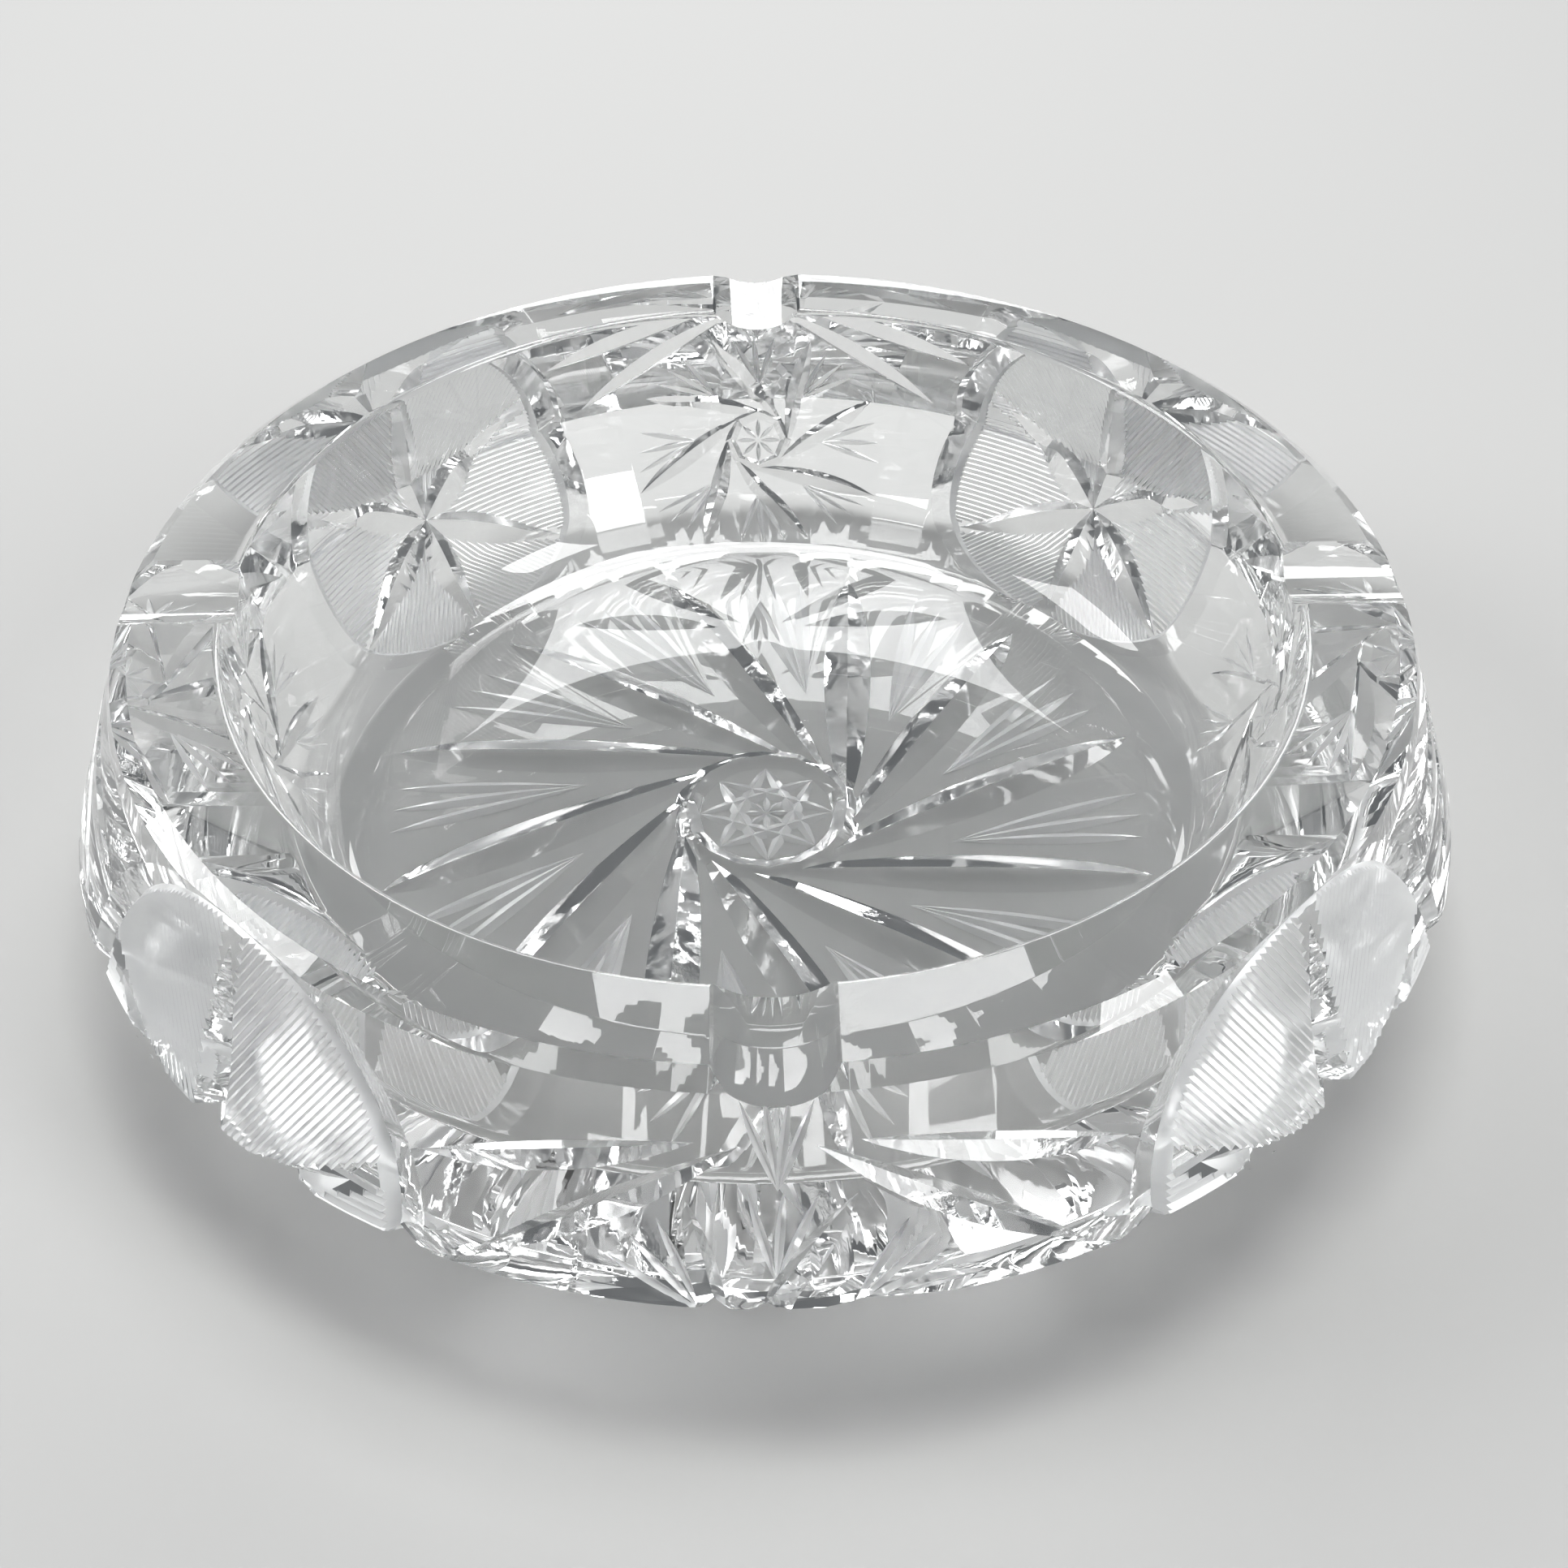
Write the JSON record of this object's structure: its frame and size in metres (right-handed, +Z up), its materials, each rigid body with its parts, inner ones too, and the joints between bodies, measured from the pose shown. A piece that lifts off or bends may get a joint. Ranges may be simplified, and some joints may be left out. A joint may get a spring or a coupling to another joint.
{
  "type": "cut crystal ashtray",
  "caption": "Round heavy dish of cut glass with a shallow bowl, round-bottomed rests across its broad rim, star panels, pinwheel panels and a pinwheel under the floor.",
  "frame": {"origin": "centre of the flat base, on the surface that the dish rests on", "axes": "+Z up, out of the bowl's mouth; a rest lies on each of +X, +Y, -X and -Y"},
  "size_m": [0.178, 0.178, 0.044],
  "materials": {
    "crystal": "polished clear lead crystal with satin fine cuts"
  },
  "bodies": {
    "root": {"crystal_dish": "crystal"}
  },
  "joints": []
}
